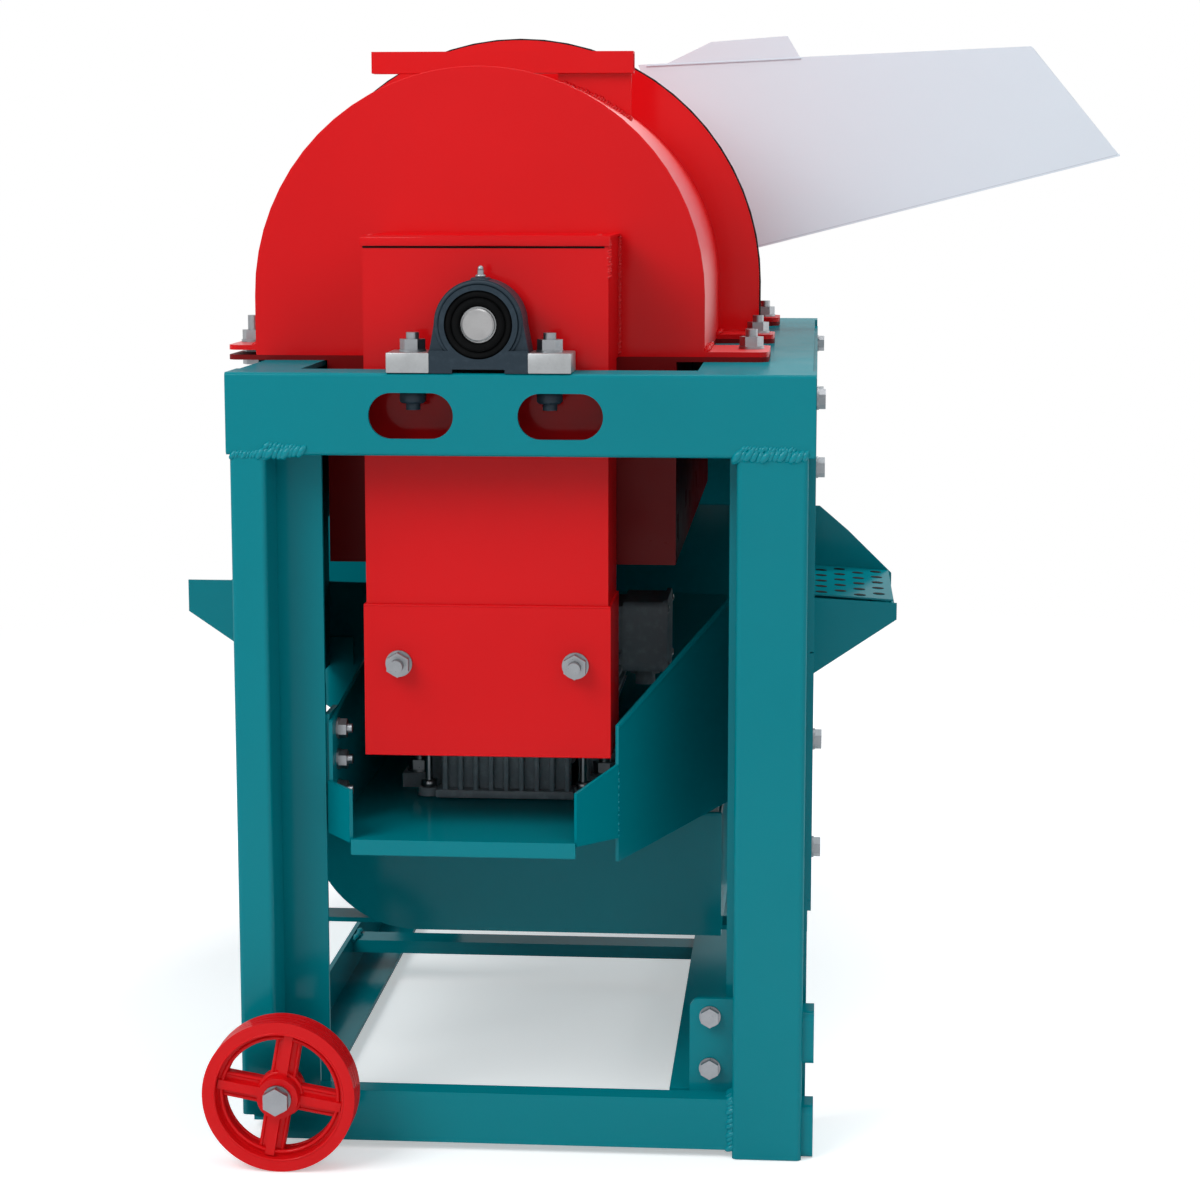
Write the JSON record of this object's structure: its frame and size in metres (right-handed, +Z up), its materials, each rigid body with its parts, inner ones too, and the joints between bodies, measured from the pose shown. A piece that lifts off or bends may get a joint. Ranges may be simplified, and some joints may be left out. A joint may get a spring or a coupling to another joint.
{
  "type": "corn thresher",
  "caption": "Wheeled corn thresher: peg drum under a red hood on a teal frame, belt-driven by a motor in a tray, with a white feed hopper and a grain pan with two spouts",
  "frame": {"origin": "centre of the overall box in X and Y, on the floor", "axes": "+X to the hopper side, +Y along the drum from the belt side to the rear, +Z up"},
  "size_m": [0.859, 1.0348, 0.8946],
  "materials": {
    "teal_paint": "gloss",
    "red_paint": "gloss",
    "white_paint": "gloss",
    "zinc": "satin",
    "dark_cast": "satin",
    "bearing_steel": "satin",
    "turned_steel": "satin",
    "worn_steel": "matte",
    "motor_grey": "satin",
    "black_rubber": "matte"
  },
  "bodies": {
    "machine": {"front_beam": "teal_paint", "rear_beam": "teal_paint", "front_left_leg": "teal_paint", "rear_left_leg": "teal_paint", "front_right_leg": "teal_paint", "rear_right_leg": "teal_paint", "corner_posts": "teal_paint", "left_top_rail": "teal_paint", "right_top_rail": "teal_paint", "front_bottom_bar": "teal_paint", "rear_bottom_bar": "teal_paint", "left_bottom_rail": "teal_paint", "right_bottom_rail": "teal_paint", "crossbar": "teal_paint", "leg_brackets": "teal_paint", "pull_bar_lugs": "teal_paint", "right_upper_panel": "teal_paint", "right_lower_panel": "teal_paint", "left_upper_panel": "teal_paint", "left_lower_panel": "teal_paint", "motor_tray": "teal_paint", "tray_wing": "teal_paint", "tray_hangers": "teal_paint", "hangers": "teal_paint", "rear_panel": "teal_paint", "grain_pan": "teal_paint", "lower_trough": "teal_paint", "wheel_plates": "teal_paint", "front_hood": "red_paint", "rear_hood": "red_paint", "drum_tub": "red_paint", "guard_box": "red_paint", "belt_guard": "red_paint", "guard_sleeve": "red_paint", "guard_back": "red_paint", "hopper_cover": "white_paint", "lift_bar": "red_paint", "feed_hopper": "white_paint", "frame_bolts": "zinc", "hood_bolts": "zinc", "guard_studs": "zinc", "motor_bolts": "zinc", "bearing_bolts": "zinc", "wheel_axles": "zinc", "front_bearing_housing": "dark_cast", "rear_bearing_housing": "dark_cast", "bearing_inserts": "bearing_steel", "concave_grate": "worn_steel", "motor_frame": "motor_grey", "motor_end_shield": "motor_grey", "motor_cowl": "motor_grey", "terminal_box": "motor_grey", "drive_belts": "black_rubber"},
    "drum": {"drum_shaft": "turned_steel", "threshing_drum": "worn_steel", "drum_pulley": "dark_cast"},
    "motor_rotor": {"motor_shaft": "turned_steel", "motor_pulley": "dark_cast"},
    "front_wheel_body": {"front_wheel": "red_paint"},
    "rear_wheel_body": {"rear_wheel": "red_paint"}
  },
  "joints": [
    {"name": "drum_spin", "type": "hinge", "parent": "machine", "child": "drum", "pos_m": [-0.1105, 0, 0.6495], "axis": [0, 1, 0], "continuous": true},
    {"name": "motor_spin", "type": "hinge", "parent": "machine", "child": "motor_rotor", "pos_m": [-0.1105, -0.32, 0.348], "axis": [0, 1, 0], "continuous": true},
    {"name": "front_wheel_spin", "type": "hinge", "parent": "machine", "child": "front_wheel_body", "pos_m": [-0.2625, -0.492, 0.0595], "axis": [0, 1, 0], "continuous": true},
    {"name": "rear_wheel_spin", "type": "hinge", "parent": "machine", "child": "rear_wheel_body", "pos_m": [-0.2625, 0.492, 0.0595], "axis": [0, 1, 0], "continuous": true}
  ],
  "couplings": [
    {"joint": "motor_spin", "follows": "drum_spin", "ratio": 1.6}
  ]
}
